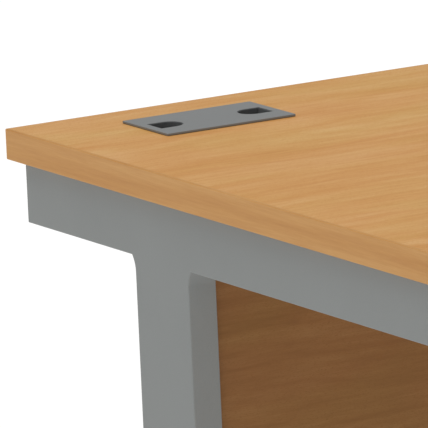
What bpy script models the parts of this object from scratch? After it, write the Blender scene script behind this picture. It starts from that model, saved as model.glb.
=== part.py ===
"""Cantilever teacher desk: a 25 mm beech-faced worktop on two welded steel legs, with two cross rails,
a modesty panel, two cable ports with lift-off covers, and four levelling feet.

Metres, +Z up. The origin is on the floor under the middle of the worktop. +X runs along the desk to
the user's right, -Y is the user's side and +Y the rear.
"""

import math

import bmesh
import bpy
from mathutils import Matrix, Vector

# Overall size
LENGTH = 1.400
DEPTH = 0.800
HEIGHT = 0.730
GAP = 0.0003  # between pieces that touch

# Worktop
TOP_THICKNESS = 0.025
EDGE_BAND = 0.002
CLEAR_FIELD = 0.450  # from the middle to the line that divides off each port's end of the board
UNDERSIDE = HEIGHT - TOP_THICKNESS

# Leg frames: a top arm, a column and a foot of one width
OVERHANG = 0.011  # worktop past the leg, at its end and at the ends of the arm
LEG_WIDTH = 0.025
LEG_WALL = 0.002
ARM_HEIGHT = 0.051
FOOT_HEIGHT = 0.050
FOOT_SETBACK = 0.060  # front end of the foot behind the worktop's front edge
COLUMN_SETBACK = 0.181  # rear face of the column from the worktop's rear edge
COLUMN_WIDTH = 0.082
FILLET_RADIUS = 0.020
FILLET_DROP = 0.013  # height of the curve between the column and the arm or foot
FILLET_STEPS = 4
LEG_X = LENGTH / 2 - OVERHANG - LEG_WIDTH / 2
INNER_X = LEG_X - LEG_WIDTH / 2
ARM_TOP = UNDERSIDE - GAP
ARM_BOTTOM = ARM_TOP - ARM_HEIGHT
ARM_REAR = DEPTH / 2 - OVERHANG
FOOT_FRONT = DEPTH / 2 - FOOT_SETBACK
COLUMN_REAR = DEPTH / 2 - COLUMN_SETBACK
COLUMN_FRONT = COLUMN_REAR - COLUMN_WIDTH
CAP_PLATE = 0.002
CAP_PLUG = 0.012
CAP_WALL = 0.0015

# Tabs on the arms that hold the worktop
TAB_REACH = 0.022
TAB_LENGTH = 0.030
TAB_THICKNESS = 0.003
TAB_DROP = 0.0002  # tab's top below the top of the arm
TAB_PLACES = {"front": -0.310, "middle": 0.040, "rear": 0.330}

# Cross rails
RAIL_SETBACK = 0.160  # centre line of each rail from the worktop's nearer edge
RAIL_WIDTH = 0.020
RAIL_HEIGHT = 0.040
RAIL_WALL = 0.0015
RAIL_PLATE = 0.003
RAIL_PLATE_WIDTH = 0.070
RAIL_BOLT_SPAN = 0.048
RAIL_Y = DEPTH / 2 - RAIL_SETBACK

# Modesty panel and its brackets
PANEL_THICKNESS = 0.018
PANEL_HEIGHT = 0.400
PANEL_SETBACK = 0.006  # front face behind the column's front face
PANEL_SIDE_GAP = 0.001
PANEL_BAND = 0.001
PANEL_FRONT = COLUMN_FRONT + PANEL_SETBACK
PANEL_REAR = PANEL_FRONT + PANEL_THICKNESS
BRACKET_LEG = 0.036
BRACKET_THICKNESS = 0.003
BRACKET_HEIGHT = 0.040
BRACKET_PLACES = {"upper": 0.600, "lower": 0.360}
BRACKET_HOLE = 0.020  # bolt hole from the bracket's corner

# Cable ports, one in each rear corner
PORT_FROM_END = 0.13975
PORT_FROM_REAR = 0.0835
COVER_LENGTH = 0.118
COVER_WIDTH = 0.072
COVER_THICKNESS = 0.0018
COVER_RADIUS = 0.0005
COVER_LAP = 0.003  # cover past the cut-out on every side
SKIRT_DEPTH = 0.004
SKIRT_WALL = 0.0012
SKIRT_PLAY = 0.0005
LINER_WALL = 0.0015
LINER_FLANGE = 0.004
LINER_FLANGE_THICKNESS = 0.0015
SLOT_MARGIN = 0.0073  # flat end of a slot from the end of the cover
SLOT_LENGTH = 0.025
SLOT_WIDTH = 0.0235
SLOT_OFFSET = 0.002  # the slots' middle line from the cover's, towards the user
PORT_CORNER = 0.004
PORT_X = LENGTH / 2 - PORT_FROM_END
PORT_Y = DEPTH / 2 - PORT_FROM_REAR

# Levelling feet, from the floor up
PAD_RADIUS = 0.015
PAD_HEIGHT = 0.008
PAD_COLLAR = 0.003  # wall round the stud's socket
PAD_RIM = 0.0036  # height of the pad's straight side
PAD_CHAMFER = 0.0008
STUD_RADIUS = 0.004
STUD_TOP = 0.046
STUD_SPIGOT = 0.003  # how deep the stud stands in the pad
STUD_CHAMFER = 0.0008
HEX_ACROSS_FLATS = 0.013
HEX_HEIGHT = 0.0045
INSERT_RADIUS = 0.0065
INSERT_FLANGE_RADIUS = 0.010
INSERT_FLANGE = 0.0016
INSERT_LENGTH = 0.014
FOOT_END_TO_STUD = 0.035
HEX_BOTTOM = PAD_HEIGHT + GAP
HEX_TOP = HEX_BOTTOM + HEX_HEIGHT
INSERT_BOTTOM = HEX_TOP + GAP
FOOT_BOTTOM = INSERT_BOTTOM + INSERT_FLANGE + GAP
FOOT_TOP = FOOT_BOTTOM + FOOT_HEIGHT
STUD_X = LEG_X
STUD_PLACES = {"front": -FOOT_FRONT + FOOT_END_TO_STUD, "rear": ARM_REAR - FOOT_END_TO_STUD}

# Fasteners
BOLT_RADIUS = 0.003
BOLT_LENGTH = 0.014
BOLT_HEAD_RADIUS = 0.0055
BOLT_HEAD = 0.0033
SCREW_RADIUS = 0.002
SCREW_GRIP = 0.014  # how far a screw reaches into the worktop
SCREW_HEAD_RADIUS = 0.004
SCREW_HEAD = 0.0024
HEAD_CROWN = 0.55  # flat crown of a bolt's head, as a share of its radius
HEAD_RIM = 0.35  # straight rim of a bolt's head, as a share of its height
FASTENER_SIDES = 12
STUD_SIDES = 16
ROUND_SIDES = 24
CORNER_STEPS = 3
NOSE_STEPS = 8
WELD = 0.00001  # points closer than this are one point

SIDES = {"left": -1, "right": 1}
ENDS = {"front": -1, "rear": 1}
WAYS_X = Matrix.Rotation(math.pi / 2, 4, "Y")  # turns +Z to +X


def clear_scene():
    for old in list(bpy.data.objects):
        bpy.data.objects.remove(old)


def new_collection(name):
    made = bpy.data.collections.new(name)
    bpy.context.scene.collection.children.link(made)
    return made


def linear(*screen_colour):
    """A screen colour, 0 to 255, as the linear light values that a shader takes."""
    return tuple(((c / 255 + 0.055) / 1.055) ** 2.4 for c in screen_colour)


def material(name, colour, roughness, metallic=0.0):
    made = bpy.data.materials.new(name)
    made.use_nodes = True
    shader = made.node_tree.nodes["Principled BSDF"]
    shader.inputs["Base Color"].default_value = (*linear(*colour), 1.0)
    shader.inputs["Roughness"].default_value = roughness
    shader.inputs["Metallic"].default_value = metallic
    return made


clear_scene()
DESK = new_collection("teacher_desk")
CUTTERS = new_collection("teacher_desk_cutters")
BEECH = material("beech_board", (203, 154, 102), 0.45)
EDGING = material("beech_edging", (187, 141, 93), 0.40)
GREY_STEEL = material("grey_steel", (134, 137, 136), 0.50, 0.3)
GREY_PLASTIC = material("grey_plastic", (128, 131, 130), 0.55)
DARK_PLASTIC = material("dark_plastic", (48, 50, 52), 0.60)
ZINC = material("zinc_steel", (176, 180, 184), 0.35, 1.0)


def add_mesh(name, bm, surface=None):
    """A bmesh as a desk piece if it has a surface, and else as a hidden cutter."""
    bmesh.ops.recalc_face_normals(bm, faces=bm.faces)
    mesh = bpy.data.meshes.new(name)
    bm.to_mesh(mesh)
    bm.free()
    made = bpy.data.objects.new(name, mesh)
    if surface:
        mesh.materials.append(surface)
        DESK.objects.link(made)
    else:
        made.hide_render = True
        made.display_type = "WIRE"
        CUTTERS.objects.link(made)
    return made


def box(name, size, centre, surface=None, divided_at=()):
    """A box. Each X in divided_at, from its centre, puts a line round it that divides its faces."""
    bm = bmesh.new()
    bmesh.ops.create_cube(bm, size=1.0)
    bmesh.ops.scale(bm, vec=Vector(size), verts=bm.verts)
    for x in divided_at:
        whole = [*bm.verts, *bm.edges, *bm.faces]
        bmesh.ops.bisect_plane(bm, geom=whole, plane_co=(x, 0, 0), plane_no=(1, 0, 0))
    made = add_mesh(name, bm, surface)
    made.location = centre
    return made


def rod(name, radius, length, centre, along=None, sides=FASTENER_SIDES):
    """A round cutter, upright unless a rotation is given."""
    bm = bmesh.new()
    bmesh.ops.create_cone(
        bm, cap_ends=True, segments=sides, radius1=radius, radius2=radius, depth=length
    )
    made = add_mesh(name, bm)
    made.matrix_world = Matrix.Translation(centre) @ (along or Matrix())
    return made


def rounded(corners, steps=CORNER_STEPS):
    """The outline through (x, y, radius) corners, each rounded to its radius."""
    points = []
    for i, (x, y, radius) in enumerate(corners):
        here = Vector((x, y))
        back = (Vector(corners[i - 1][:2]) - here).normalized()
        ahead = (Vector(corners[(i + 1) % len(corners)][:2]) - here).normalized()
        if radius == 0:
            points.append(here)
            continue
        half = back.angle(ahead) / 2
        centre = here + (back + ahead).normalized() * (radius / math.sin(half))
        start = here + back * (radius / math.tan(half)) - centre
        turn = start.angle_signed(here + ahead * (radius / math.tan(half)) - centre)
        for step in range(steps + 1):
            spin = Matrix.Rotation(-turn * step / steps, 2)
            points.append(centre + spin @ start)
    return points


def rectangle(length, width, radius):
    x, y = length / 2, width / 2
    return rounded([(x, y, radius), (-x, y, radius), (-x, -y, radius), (x, -y, radius)])


def sheet(name, points, thickness, place, surface=None):
    """A flat outline made solid, half its thickness to each side of its plane, then put in place.

    The curve gives the wall round the outline, and one face closes each side of it.
    """
    curve = bpy.data.curves.new(name, "CURVE")
    curve.dimensions = "2D"
    curve.fill_mode = "NONE"
    curve.extrude = thickness / 2
    line = curve.splines.new("POLY")
    line.points.add(len(points) - 1)
    for point, (x, y) in zip(line.points, points):
        point.co = (x, y, 0, 1)
    line.use_cyclic_u = True
    drawn = bpy.data.objects.new(name + "_outline", curve)
    bpy.context.scene.collection.objects.link(drawn)
    evaluated = drawn.evaluated_get(bpy.context.evaluated_depsgraph_get())
    flat = bpy.data.meshes.new_from_object(evaluated)
    bm = bmesh.new()
    bm.from_mesh(flat)
    bmesh.ops.remove_doubles(bm, verts=bm.verts, dist=WELD)
    bmesh.ops.holes_fill(bm, edges=[edge for edge in bm.edges if edge.is_boundary])
    bpy.data.objects.remove(drawn)
    made = add_mesh(name, bm, surface)
    made.matrix_world = place
    return made


def turned(name, profile, place, surface, sides=ROUND_SIDES):
    """A profile of (radius, height) points, from the top down its outer side, turned about Z.

    A profile that starts and ends on the axis is solid, and any other is closed into a ring.
    """
    bm = bmesh.new()
    points = [bm.verts.new((radius, 0, height)) for radius, height in profile]
    closing = [] if profile[0][0] == profile[-1][0] == 0 else [(points[-1], points[0])]
    for pair in list(zip(points, points[1:])) + closing:
        bm.edges.new(pair)
    made = add_mesh(name, bm, surface)
    made.matrix_world = place
    screw = made.modifiers.new("Turn", "SCREW")
    screw.steps = sides
    screw.render_steps = sides
    screw.use_merge_vertices = True
    screw.merge_threshold = WELD
    screw.use_smooth_shade = True
    return made


def boolean(target, tool, operation):
    step = target.modifiers.new(operation.title(), "BOOLEAN")
    step.operation = operation
    step.object = tool
    return target


def cut(target, *tools):
    for tool in tools:
        boolean(target, tool, "DIFFERENCE")
    return target


def join(target, *tools):
    for tool in tools:
        boolean(target, tool, "UNION")
    return target


def at(x, y, z):
    return Matrix.Translation((x, y, z))


def port_places():
    return {side: Vector((sign * PORT_X, PORT_Y, 0)) for side, sign in SIDES.items()}


def top_screw_places():
    """Where each screw enters the worktop's underside, with the thickness that its head is below."""
    places = {}
    for side, sign in SIDES.items():
        for end, y in TAB_PLACES.items():
            x = sign * (INNER_X - TAB_REACH / 2)
            places[f"top_screw_{side}_{end}"] = (x, y, TAB_DROP + TAB_THICKNESS)
    for end, sign in ENDS.items():
        places[f"rail_screw_{end}"] = (0, sign * RAIL_Y, RAIL_HEIGHT)
    return places


def make_worktop():
    inset = 2 * (EDGE_BAND + GAP)
    centre_z = HEIGHT - TOP_THICKNESS / 2
    size = (LENGTH - inset, DEPTH - inset, TOP_THICKNESS)
    fields = (-CLEAR_FIELD, CLEAR_FIELD)
    board = box("worktop", size, (0, 0, centre_z), BEECH, fields)
    opening = rectangle(COVER_LENGTH - 2 * COVER_LAP, COVER_WIDTH - 2 * COVER_LAP, PORT_CORNER)
    for side, place in port_places().items():
        through = at(place.x, place.y, centre_z)
        cut(board, sheet(f"port_opening_{side}", opening, 2 * TOP_THICKNESS, through))
    for name, (x, y, _) in top_screw_places().items():
        pilot = (x, y, UNDERSIDE)
        cut(board, rod(f"{name}_pilot", SCREW_RADIUS + GAP, 2 * (SCREW_GRIP + GAP), pilot))
    for end, sign in ENDS.items():
        size = (LENGTH, EDGE_BAND, TOP_THICKNESS)
        centre = (0, sign * (DEPTH - EDGE_BAND) / 2, centre_z)
        box(f"edge_band_{end}", size, centre, EDGING)
    for side, sign in SIDES.items():
        size = (EDGE_BAND, DEPTH - inset, TOP_THICKNESS)
        centre = (sign * (LENGTH - EDGE_BAND) / 2, 0, centre_z)
        box(f"edge_band_{side}", size, centre, EDGING)


def make_port(side, place):
    """A sleeve through the worktop, flanged below it, and a flat cover with two D-shaped cable slots."""
    outer = (COVER_LENGTH - 2 * (COVER_LAP + GAP), COVER_WIDTH - 2 * (COVER_LAP + GAP))
    inner = (outer[0] - 2 * LINER_WALL, outer[1] - 2 * LINER_WALL)
    low = UNDERSIDE - GAP - LINER_FLANGE_THICKNESS
    high = HEIGHT - GAP
    middle = at(place.x, place.y, (low + high) / 2)
    liner = sheet(
        f"port_liner_{side}", rectangle(*outer, PORT_CORNER - GAP), high - low, middle, DARK_PLASTIC
    )
    flange = rectangle(outer[0] + 2 * LINER_FLANGE, outer[1] + 2 * LINER_FLANGE, PORT_CORNER)
    flange_z = low + LINER_FLANGE_THICKNESS / 2
    flange_place = at(place.x, place.y, flange_z)
    join(liner, sheet(f"liner_flange_{side}", flange, LINER_FLANGE_THICKNESS, flange_place))
    bore = rectangle(*inner, PORT_CORNER - GAP - LINER_WALL)
    cut(liner, sheet(f"liner_bore_{side}", bore, 2 * TOP_THICKNESS, middle))

    cover_z = HEIGHT + GAP + COVER_THICKNESS / 2
    cover_place = at(place.x, place.y, cover_z)
    outline = rectangle(COVER_LENGTH, COVER_WIDTH, COVER_RADIUS)
    cover = sheet(f"port_cover_{side}", outline, COVER_THICKNESS, cover_place, GREY_STEEL)
    skirt = (inner[0] - 2 * SKIRT_PLAY, inner[1] - 2 * SKIRT_PLAY)
    skirt_height = SKIRT_DEPTH + COVER_THICKNESS / 2
    skirt_place = at(place.x, place.y, cover_z - skirt_height / 2)
    ring = sheet(f"skirt_{side}", rectangle(*skirt, PORT_CORNER / 2), skirt_height, skirt_place)
    hollow = rectangle(skirt[0] - 2 * SKIRT_WALL, skirt[1] - 2 * SKIRT_WALL, PORT_CORNER / 4)
    cut(ring, sheet(f"skirt_hollow_{side}", hollow, 2 * SKIRT_DEPTH + skirt_height, skirt_place))
    join(cover, ring)
    for way in (-1, 1):
        half_turn = Matrix.Rotation(math.pi * (way > 0), 4, "Z")
        slot = at(place.x, place.y - SLOT_OFFSET, cover_z) @ half_turn
        cut(cover, sheet(f"slot_{side}_{way + 1}", slot_outline(), 4 * COVER_THICKNESS, slot))


def slot_outline():
    """A D: its flat end is towards the cover's -X end, and its round end towards the middle."""
    flat = -COVER_LENGTH / 2 + SLOT_MARGIN
    radius = SLOT_WIDTH / 2
    straight = flat + SLOT_LENGTH - radius
    turns = [math.pi * (0.5 - step / NOSE_STEPS) for step in range(NOSE_STEPS + 1)]
    nose = [(straight + radius * math.cos(t), radius * math.sin(t)) for t in turns]
    return [(flat, radius), *nose, (flat, -radius)]


def fillet(face, outward, level, way, inset):
    """The curve from a face of the column up (way 1) to the arm or down (way -1) to the foot."""
    radius = FILLET_RADIUS + inset
    centre_y, centre_z = face + outward * FILLET_RADIUS, level - way * FILLET_DROP
    end = math.asin((FILLET_DROP + inset) / radius)
    points = []
    for step in range(FILLET_STEPS + 1):
        turn = end * step / FILLET_STEPS
        y = centre_y - outward * radius * math.cos(turn)
        points.append((y, centre_z + way * radius * math.sin(turn), 0))
    return points


def leg_outline(inset, overrun):
    """The leg's side view in (Y, Z): drawn in by inset all round, its tube ends moved out by overrun."""
    cap = CAP_PLATE + GAP
    rear = ARM_REAR - cap + overrun
    arm_front = -ARM_REAR + cap - overrun
    foot_front = -FOOT_FRONT + cap - overrun
    top, under = ARM_TOP - inset, ARM_BOTTOM + inset
    above, bottom = FOOT_TOP - inset, FOOT_BOTTOM + inset
    front_curves = fillet(COLUMN_FRONT, -1, ARM_BOTTOM, 1, inset)[::-1]
    front_curves += fillet(COLUMN_FRONT, -1, FOOT_TOP, -1, inset)
    rear_curves = fillet(COLUMN_REAR, 1, FOOT_TOP, -1, inset)[::-1]
    rear_curves += fillet(COLUMN_REAR, 1, ARM_BOTTOM, 1, inset)
    return rounded(
        [
            (rear, top, 0),
            (arm_front, top, 0),
            (arm_front, under, 0),
            *front_curves,
            (foot_front, above, 0),
            (foot_front, bottom, 0),
            (rear, bottom, 0),
            (rear, above, 0),
            *rear_curves,
            (rear, under, 0),
        ]
    )


def bolt_places():
    """Each bolt on one leg: its name's middle, its y and z, and the thickness under its head."""
    places = {}
    for end, way in ENDS.items():
        for number, offset in enumerate((-RAIL_BOLT_SPAN / 2, RAIL_BOLT_SPAN / 2), 1):
            z = ARM_TOP - RAIL_HEIGHT / 2
            places[f"rail_bolt_{end}_{number}"] = (way * RAIL_Y + offset, z, RAIL_PLATE)
    for level, z in BRACKET_PLACES.items():
        y = PANEL_REAR + GAP + BRACKET_HOLE
        places[f"bracket_bolt_{level}"] = (y, z, BRACKET_THICKNESS)
    return places


def make_leg(side, sign):
    upright = Matrix(((0, 0, 1, sign * LEG_X), (1, 0, 0, 0), (0, 1, 0, 0), (0, 0, 0, 1)))
    leg = sheet(f"leg_frame_{side}", leg_outline(0, 0), LEG_WIDTH, upright, GREY_STEEL)
    hollow = leg_outline(LEG_WALL, 2 * CAP_PLUG)
    for end, y in TAB_PLACES.items():
        weld = LEG_WALL / 2
        size = (TAB_REACH + weld, TAB_LENGTH, TAB_THICKNESS)
        x = sign * (INNER_X + (weld - TAB_REACH) / 2)
        z = ARM_TOP - TAB_DROP - TAB_THICKNESS / 2
        join(leg, box(f"tab_{side}_{end}", size, (x, y, z)))
    cut(leg, sheet(f"leg_hollow_{side}", hollow, LEG_WIDTH - 2 * LEG_WALL, upright))
    for name, (x, y, _) in top_screw_places().items():
        if name.startswith(f"top_screw_{side}"):
            hole = (x, y, ARM_TOP)
            cut(leg, rod(f"{name}_tab_hole", SCREW_RADIUS + GAP, 4 * TAB_THICKNESS, hole))
    for name, (y, z, _) in bolt_places().items():
        hole = (sign * INNER_X, y, z)
        cut(leg, rod(f"{name}_{side}_hole", BOLT_RADIUS + GAP, 4 * LEG_WALL, hole, WAYS_X))
    for end, y in STUD_PLACES.items():
        hole = (sign * STUD_X, y, FOOT_BOTTOM)
        radius = INSERT_RADIUS + GAP
        cut(leg, rod(f"insert_hole_{side}_{end}", radius, 4 * LEG_WALL, hole, sides=ROUND_SIDES))


def make_cap(name, x, end_y, way, centre_z, height):
    """A plate over a tube's end, with a hollow plug inside the tube. way points out of the tube."""
    plate_y = end_y - way * CAP_PLATE / 2
    cap = box(name, (LEG_WIDTH, CAP_PLATE, height), (x, plate_y, centre_z), GREY_PLASTIC)
    shrink = 2 * (LEG_WALL + GAP)
    plug_length = CAP_PLUG + CAP_PLATE / 2
    plug_y = end_y - way * (CAP_PLATE + CAP_PLUG) + way * plug_length / 2
    plug = (LEG_WIDTH - shrink, plug_length, height - shrink)
    join(cap, box(f"{name}_plug", plug, (x, plug_y, centre_z)))
    bore = (plug[0] - 2 * CAP_WALL, 2 * CAP_PLUG, plug[2] - 2 * CAP_WALL)
    bore_y = end_y - way * (CAP_PLATE + CAP_PLUG)
    cut(cap, box(f"{name}_bore", bore, (x, bore_y, centre_z)))


def make_caps(side, sign):
    arm_z = (ARM_TOP + ARM_BOTTOM) / 2
    foot_z = (FOOT_TOP + FOOT_BOTTOM) / 2
    x = sign * LEG_X
    make_cap(f"arm_cap_{side}_front", x, -ARM_REAR, -1, arm_z, ARM_HEIGHT)
    make_cap(f"arm_cap_{side}_rear", x, ARM_REAR, 1, arm_z, ARM_HEIGHT)
    make_cap(f"foot_cap_{side}_front", x, -FOOT_FRONT, -1, foot_z, FOOT_HEIGHT)
    make_cap(f"foot_cap_{side}_rear", x, ARM_REAR, 1, foot_z, FOOT_HEIGHT)


def make_rail(end, way):
    """A rectangular tube with a bolting plate on each end."""
    y = way * RAIL_Y
    z = ARM_TOP - RAIL_HEIGHT / 2
    reach = INNER_X - GAP
    rail = box(f"rail_{end}", (2 * reach, RAIL_WIDTH, RAIL_HEIGHT), (0, y, z), GREY_STEEL)
    for side, sign in SIDES.items():
        size = (RAIL_PLATE, RAIL_PLATE_WIDTH, RAIL_HEIGHT)
        join(rail, box(f"rail_plate_{end}_{side}", size, (sign * (reach - RAIL_PLATE / 2), y, z)))
    hollow = (
        2 * (reach - RAIL_PLATE),
        RAIL_WIDTH - 2 * RAIL_WALL,
        RAIL_HEIGHT - 2 * RAIL_WALL,
    )
    cut(rail, box(f"rail_hollow_{end}", hollow, (0, y, z)))
    cut(rail, rod(f"rail_screw_hole_{end}", SCREW_RADIUS + GAP, 2 * RAIL_HEIGHT, (0, y, z)))
    for side, sign in SIDES.items():
        for name, (bolt_y, bolt_z, _) in bolt_places().items():
            if name.startswith(f"rail_bolt_{end}"):
                hole = (sign * reach, bolt_y, bolt_z)
                length = 4 * RAIL_PLATE
                cut(rail, rod(f"{name}_{side}_plate_hole", BOLT_RADIUS + GAP, length, hole, WAYS_X))


def make_panel():
    """The modesty panel between the columns, edged above and below."""
    top = UNDERSIDE - GAP
    bottom = top - PANEL_HEIGHT
    length = 2 * (INNER_X - PANEL_SIDE_GAP)
    y = (PANEL_FRONT + PANEL_REAR) / 2
    core = PANEL_HEIGHT - 2 * (PANEL_BAND + GAP)
    box("modesty_panel", (length, PANEL_THICKNESS, core), (0, y, (top + bottom) / 2), BEECH)
    for name, z in (("top", top - PANEL_BAND / 2), ("bottom", bottom + PANEL_BAND / 2)):
        size = (length, PANEL_THICKNESS, PANEL_BAND)
        box(f"modesty_band_{name}", size, (0, y, z), EDGING)


def make_bracket(side, sign, level, z):
    """An angle bracket: one leg on the column's inner face, one on the panel's rear face."""
    inward, thick = -sign * BRACKET_LEG, BRACKET_THICKNESS
    outline = rounded(
        [
            (0, 0, 0),
            (inward, 0, 0),
            (inward, thick, 0),
            (-sign * thick, thick, thick / 2),
            (-sign * thick, BRACKET_LEG, 0),
            (0, BRACKET_LEG, 0),
        ]
    )
    corner = at(sign * (INNER_X - GAP), PANEL_REAR + GAP, z)
    name = f"bracket_{side}_{level}"
    bracket = sheet(name, outline, BRACKET_HEIGHT, corner, ZINC)
    bolt_y = bolt_places()[f"bracket_bolt_{level}"][0]
    hole = (sign * INNER_X, bolt_y, z)
    cut(bracket, rod(f"{name}_bolt_hole", BOLT_RADIUS + GAP, 4 * thick, hole, WAYS_X))


def make_foot(side, sign, end, y):
    """A levelling foot: a bush in the foot tube, a stud with a hexagon, and the pad that it stands in."""
    name = f"{end}_{side}"
    place = at(sign * STUD_X, y, 0)
    insert_top = INSERT_BOTTOM + INSERT_FLANGE + INSERT_LENGTH
    bore = STUD_RADIUS + GAP
    flange_top = INSERT_BOTTOM + INSERT_FLANGE
    turned(
        f"foot_insert_{name}",
        [
            (INSERT_RADIUS, insert_top),
            (INSERT_RADIUS, flange_top),
            (INSERT_FLANGE_RADIUS, flange_top),
            (INSERT_FLANGE_RADIUS, INSERT_BOTTOM),
            (bore, INSERT_BOTTOM),
            (bore, insert_top),
        ],
        place,
        ZINC,
        STUD_SIDES,
    )
    spigot_bottom = PAD_HEIGHT - STUD_SPIGOT
    hex_radius = HEX_ACROSS_FLATS / 2 / math.cos(math.pi / 6)
    stud = turned(
        f"foot_stud_{name}",
        [
            (0, STUD_TOP),
            (STUD_RADIUS - STUD_CHAMFER, STUD_TOP),
            (STUD_RADIUS, STUD_TOP - STUD_CHAMFER),
            (STUD_RADIUS, spigot_bottom),
            (0, spigot_bottom),
        ],
        place,
        ZINC,
        STUD_SIDES,
    )
    bm = bmesh.new()
    bmesh.ops.create_cone(
        bm, cap_ends=True, segments=6, radius1=hex_radius, radius2=hex_radius, depth=HEX_HEIGHT
    )
    hexagon = add_mesh(f"hexagon_{name}", bm)
    hexagon.location = (sign * STUD_X, y, HEX_BOTTOM + HEX_HEIGHT / 2)
    join(stud, hexagon)
    socket = STUD_RADIUS + GAP
    turned(
        f"foot_pad_{name}",
        [
            (socket, PAD_HEIGHT),
            (socket + PAD_COLLAR, PAD_HEIGHT),
            (PAD_RADIUS, PAD_RIM),
            (PAD_RADIUS, PAD_CHAMFER),
            (PAD_RADIUS - PAD_CHAMFER, 0),
            (0, 0),
            (0, spigot_bottom - GAP),
            (socket, spigot_bottom - GAP),
        ],
        place,
        DARK_PLASTIC,
    )


def make_bolt(name, side_sign, y, z, thickness):
    """A button-headed bolt through a bracket or plate into the leg's inner wall."""
    seat = INNER_X - GAP - thickness - GAP
    turned(
        name,
        [
            (0, BOLT_HEAD),
            (BOLT_HEAD_RADIUS * HEAD_CROWN, BOLT_HEAD),
            (BOLT_HEAD_RADIUS, BOLT_HEAD * HEAD_RIM),
            (BOLT_HEAD_RADIUS, 0),
            (BOLT_RADIUS, 0),
            (BOLT_RADIUS, -BOLT_LENGTH),
            (0, -BOLT_LENGTH),
        ],
        at(side_sign * seat, y, z) @ Matrix.Rotation(-side_sign * math.pi / 2, 4, "Y"),
        ZINC,
        FASTENER_SIDES,
    )


def make_screw(name, x, y, thickness):
    """A pan-headed screw from below, through a tab or a rail into the worktop."""
    seat = UNDERSIDE - GAP - thickness - GAP
    turned(
        name,
        [
            (0, UNDERSIDE + SCREW_GRIP),
            (SCREW_RADIUS, UNDERSIDE + SCREW_GRIP - 2 * SCREW_RADIUS),
            (SCREW_RADIUS, seat),
            (SCREW_HEAD_RADIUS, seat),
            (SCREW_HEAD_RADIUS, seat - SCREW_HEAD / 2),
            (SCREW_HEAD_RADIUS / 2, seat - SCREW_HEAD),
            (0, seat - SCREW_HEAD),
        ],
        at(x, y, 0),
        ZINC,
        FASTENER_SIDES,
    )


def make_desk():
    make_worktop()
    make_panel()
    for end, way in ENDS.items():
        make_rail(end, way)
    for side, place in port_places().items():
        make_port(side, place)
    for name, (x, y, thickness) in top_screw_places().items():
        make_screw(name, x, y, thickness)
    for side, sign in SIDES.items():
        make_leg(side, sign)
        make_caps(side, sign)
        for name, (y, z, thickness) in bolt_places().items():
            make_bolt(f"{name}_{side}", sign, y, z, thickness)
        for level, z in BRACKET_PLACES.items():
            make_bracket(side, sign, level, z)
        for end, y in STUD_PLACES.items():
            make_foot(side, sign, end, y)


make_desk()
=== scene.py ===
"""Teacher desk: the visual model, and the plain studio that it stands in.

Metres, +Z up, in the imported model's frame: the origin is on the floor under the middle of the worktop,
+X runs along the desk to the user's right, -Y is the user's side and +Y the rear. Every piece takes its
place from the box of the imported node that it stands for, and the sizes below are those no box gives.
"""

import math

import bmesh
import bpy
from mathutils import Matrix, Vector


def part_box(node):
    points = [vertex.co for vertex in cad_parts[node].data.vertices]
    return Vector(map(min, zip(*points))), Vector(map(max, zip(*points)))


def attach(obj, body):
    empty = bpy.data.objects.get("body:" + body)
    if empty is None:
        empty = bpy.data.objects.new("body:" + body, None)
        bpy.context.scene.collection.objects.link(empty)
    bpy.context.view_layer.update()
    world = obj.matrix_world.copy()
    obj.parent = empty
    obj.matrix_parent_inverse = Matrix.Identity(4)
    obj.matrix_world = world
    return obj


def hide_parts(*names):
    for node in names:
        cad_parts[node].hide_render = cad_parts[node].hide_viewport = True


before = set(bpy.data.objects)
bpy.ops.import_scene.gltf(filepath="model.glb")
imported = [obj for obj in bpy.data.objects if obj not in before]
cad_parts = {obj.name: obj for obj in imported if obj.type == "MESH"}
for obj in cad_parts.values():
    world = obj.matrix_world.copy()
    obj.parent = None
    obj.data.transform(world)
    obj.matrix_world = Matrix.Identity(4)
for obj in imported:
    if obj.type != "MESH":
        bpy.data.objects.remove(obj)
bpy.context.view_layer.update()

SIDES = {"left": -1, "right": 1}
ENDS = {"front": -1, "rear": 1}
LEVELS = ("upper", "lower")
TABS = ("front", "middle", "rear")
PAIR = (1, 2)

# Mesh
WELD = 0.000004  # points closer than this are one point
CREASE = math.radians(32)  # a sharper edge than this stays sharp in the shading
EASED = math.radians(50)  # a sharper edge than this is rounded on a bracket
ARC_STEPS = 6
RIM_STEPS = 4
ROUND_SIDES = 48
SEAM = 0.00012  # shadow line between two pieces that touch
THROUGH = 1.0  # how far a cutting solid runs past the faces that it opens

# Worktop and modesty panel
BAND_ROUND = 0.0009  # rounding of the band's outer rims
BAND_CORNER = 0.0009
GLUE_LINE = 0.00012  # chamfer on each side of a glued joint
PORT_LAP = 0.003  # cover past the cut-out on every side
PORT_CORNER = 0.004
PANEL_EASE = 0.0005

# Leg frames
TUBE_ROUND = 0.0011
HOLLOW_ROUND = 0.0004
TUBE_WALL = 0.002
FILLET_RADIUS = 0.020
FILLET_DROP = 0.013  # height of the curve between the column and the arm or foot
FILLET_STEPS = 8
COLUMN_WIDTH = 0.082
PANEL_SETBACK = 0.006  # the panel's front face behind the column's
CAP_PLATE = 0.002
CAP_LIP = 0.0007
CAP_WALL = 0.0015
TAB_LENGTH = 0.030
TAB_THICKNESS = 0.003
TAB_CORNER = 0.005
BEAD = 0.0016
BEAD_PITCH = 0.0019
BEAD_RIPPLE = 0.14
BEAD_STEPS = 4  # rings of points in one ripple
BEAD_LEAST = 8  # rings of points in the shortest bead
BEAD_START = 0.1  # where in its taper an end starts, in radii
BEAD_TAPER = 1.2
BEAD_SIDES = 10

# Cross rails
RAIL_WIDTH = 0.020
RAIL_WALL = 0.0015
RAIL_ROUND = 0.002
PLATE_THICKNESS = 0.003
PLATE_CORNER = 0.004
PLATE_EASE = 0.0003

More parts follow.
